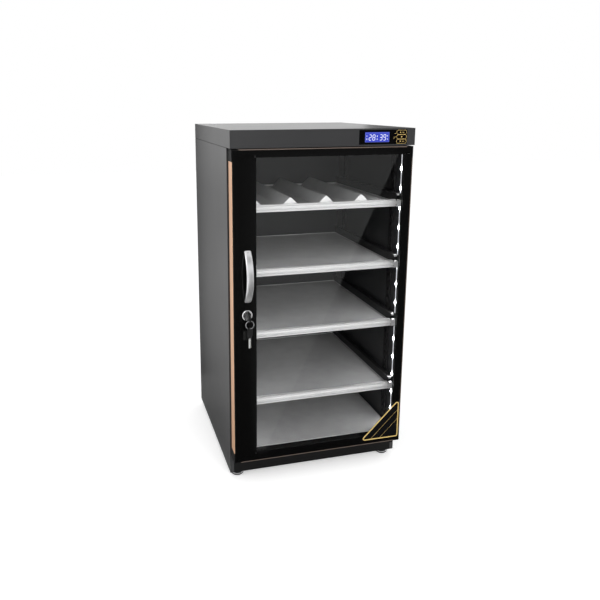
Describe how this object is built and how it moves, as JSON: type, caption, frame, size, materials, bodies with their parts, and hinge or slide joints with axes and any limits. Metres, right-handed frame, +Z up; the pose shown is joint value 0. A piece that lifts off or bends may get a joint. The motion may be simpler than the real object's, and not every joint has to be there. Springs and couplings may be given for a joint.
{
  "type": "camera dry cabinet",
  "caption": "Humidity-controlled camera cabinet with a glass door, key lock, bow handle, sliding trays, foam lens cradle, light strips and a control head with a display.",
  "frame": {"origin": "centre of the bounding box in X and Y, on the floor under the feet", "axes": "+Z up, the door faces -Y, +X to the right as seen from the front"},
  "size_m": [0.43, 0.4996, 0.835],
  "materials": {
    "case_steel": "fine-texture satin black powder coat",
    "inner_steel": "satin black powder coat",
    "frame_black": "gloss black",
    "copper_trim": "satin rose-coloured anodised strip",
    "corner_black": "satin black moulding",
    "door_glass": "clear tempered",
    "seal_rubber": "matt black magnetic seal",
    "chrome_parts": "polished",
    "satin_chrome": "satin",
    "steel_plain": "bright zinc plated",
    "key_black": "black key head on a steel blade",
    "tray_steel": "grey powder coat",
    "trim_alu": "satin anodised",
    "mat_foam": "grey soft foam",
    "cradle_foam": "pale grey soft foam",
    "rail_steel": "satin black",
    "led_cover": "white diffuser on a strip",
    "bezel_gloss": "gloss black panel",
    "lcd_blue": "lit blue display",
    "board_green": "solder mask",
    "button_black": "gloss black with a gold outline",
    "plate_black": "gloss black plate with a gold rim",
    "vent_black": "satin black",
    "core_alu": "plain",
    "foot_rubber": "black pad on a plated stud",
    "bush_nylon": "plain white nylon"
  },
  "bodies": {
    "cabinet": {"side_panel_left": "case_steel", "side_panel_right": "case_steel", "back_panel": "case_steel", "ceiling_panel": "inner_steel", "floor_panel": "inner_steel", "base_plinth": "case_steel", "bottom_plate": "case_steel", "top_cap": "case_steel", "control_bezel": "bezel_gloss", "lcd_module": "lcd_blue", "control_board": "board_green", "hinge_pin_top": "steel_plain", "hinge_bracket_bottom": "steel_plain", "wall_uprights": "inner_steel", "shelf_rails": "rail_steel", "led_strips": "led_cover", "inner_grille": "vent_black", "rear_unit_case": "vent_black", "drying_core": "core_alu", "power_inlet": "vent_black", "floor_mat": "mat_foam", "door_seal": "seal_rubber"},
    "door": {"door_stile_lock": "frame_black", "door_stile_hinge": "frame_black", "door_rail_top": "frame_black", "door_rail_bottom": "frame_black", "door_glass": "door_glass", "door_edge_strips": "copper_trim", "door_corner_caps": "corner_black", "hinge_bushes": "bush_nylon", "door_handle": "satin_chrome", "handle_screws": "steel_plain", "lock_body": "chrome_parts", "lock_nut": "steel_plain", "corner_plate": "plate_black"},
    "lock_rotor": {"lock_plug": "chrome_parts", "lock_cam": "steel_plain", "lock_key": "key_black"},
    "key_ring": {"key_ring": "chrome_parts"},
    "spare_key": {"spare_key": "key_black"},
    "button_up": {"button_up": "button_black"},
    "button_set": {"button_set": "button_black"},
    "button_down": {"button_down": "button_black"},
    "tray_1": {"tray_1": "tray_steel", "tray_trim_1": "trim_alu", "foam_cradle": "cradle_foam"},
    "tray_2": {"tray_2": "tray_steel", "tray_trim_2": "trim_alu", "tray_mat_2": "mat_foam"},
    "tray_3": {"tray_3": "tray_steel", "tray_trim_3": "trim_alu", "tray_mat_3": "mat_foam"},
    "tray_4": {"tray_4": "tray_steel", "tray_trim_4": "trim_alu", "tray_mat_4": "mat_foam"},
    "foot_front_left": {"foot_front_left": "foot_rubber"},
    "foot_front_right": {"foot_front_right": "foot_rubber"},
    "foot_back_left": {"foot_back_left": "foot_rubber"},
    "foot_back_right": {"foot_back_right": "foot_rubber"}
  },
  "joints": [
    {"name": "door_hinge", "type": "hinge", "parent": "cabinet", "child": "door", "pos_m": [0.2062, -0.19522, 0.06], "axis": [0, 0, 1], "range_deg": [0, 100]},
    {"name": "lock_turn", "type": "hinge", "parent": "door", "child": "lock_rotor", "pos_m": [-0.1794, -0.21622, 0.425], "axis": [0, 1, 0], "range_deg": [0, 90]},
    {"name": "key_ring_swing", "type": "hinge", "parent": "lock_rotor", "child": "key_ring", "pos_m": [-0.1794, -0.24122, 0.4158], "axis": [0, 1, 0], "range_deg": [-100, 100]},
    {"name": "spare_key_swing", "type": "hinge", "parent": "key_ring", "child": "spare_key", "pos_m": [-0.1794, -0.24122, 0.4104], "axis": [0, 1, 0], "range_deg": [-60, 60]},
    {"name": "button_up_press", "type": "slide", "parent": "cabinet", "child": "button_up", "axis": [0, 1, 0], "range_m": [0, 0.0008], "stiffness_N_per_m": 400},
    {"name": "button_set_press", "type": "slide", "parent": "cabinet", "child": "button_set", "axis": [0, 1, 0], "range_m": [0, 0.0008], "stiffness_N_per_m": 400},
    {"name": "button_down_press", "type": "slide", "parent": "cabinet", "child": "button_down", "axis": [0, 1, 0], "range_m": [0, 0.0008], "stiffness_N_per_m": 400},
    {"name": "tray_1_slide", "type": "slide", "parent": "cabinet", "child": "tray_1", "axis": [0, -1, 0], "range_m": [0, 0.3]},
    {"name": "tray_2_slide", "type": "slide", "parent": "cabinet", "child": "tray_2", "axis": [0, -1, 0], "range_m": [0, 0.3]},
    {"name": "tray_3_slide", "type": "slide", "parent": "cabinet", "child": "tray_3", "axis": [0, -1, 0], "range_m": [0, 0.3]},
    {"name": "tray_4_slide", "type": "slide", "parent": "cabinet", "child": "tray_4", "axis": [0, -1, 0], "range_m": [0, 0.3]},
    {"name": "foot_front_left_screw", "type": "hinge", "parent": "cabinet", "child": "foot_front_left", "pos_m": [-0.193, -0.15922, 0], "axis": [0, 0, 1], "continuous": true},
    {"name": "foot_front_right_screw", "type": "hinge", "parent": "cabinet", "child": "foot_front_right", "pos_m": [0.193, -0.15922, 0], "axis": [0, 0, 1], "continuous": true},
    {"name": "foot_back_left_screw", "type": "hinge", "parent": "cabinet", "child": "foot_back_left", "pos_m": [-0.193, 0.21178, 0], "axis": [0, 0, 1], "continuous": true},
    {"name": "foot_back_right_screw", "type": "hinge", "parent": "cabinet", "child": "foot_back_right", "pos_m": [0.193, 0.21178, 0], "axis": [0, 0, 1], "continuous": true}
  ],
  "couplings": [
    {"joint": "tray_1_slide", "follows": "door_hinge", "m_per_rad": 0.055},
    {"joint": "tray_2_slide", "follows": "door_hinge", "m_per_rad": 0.055},
    {"joint": "tray_3_slide", "follows": "door_hinge", "m_per_rad": 0.055},
    {"joint": "tray_4_slide", "follows": "door_hinge", "m_per_rad": 0.055}
  ]
}
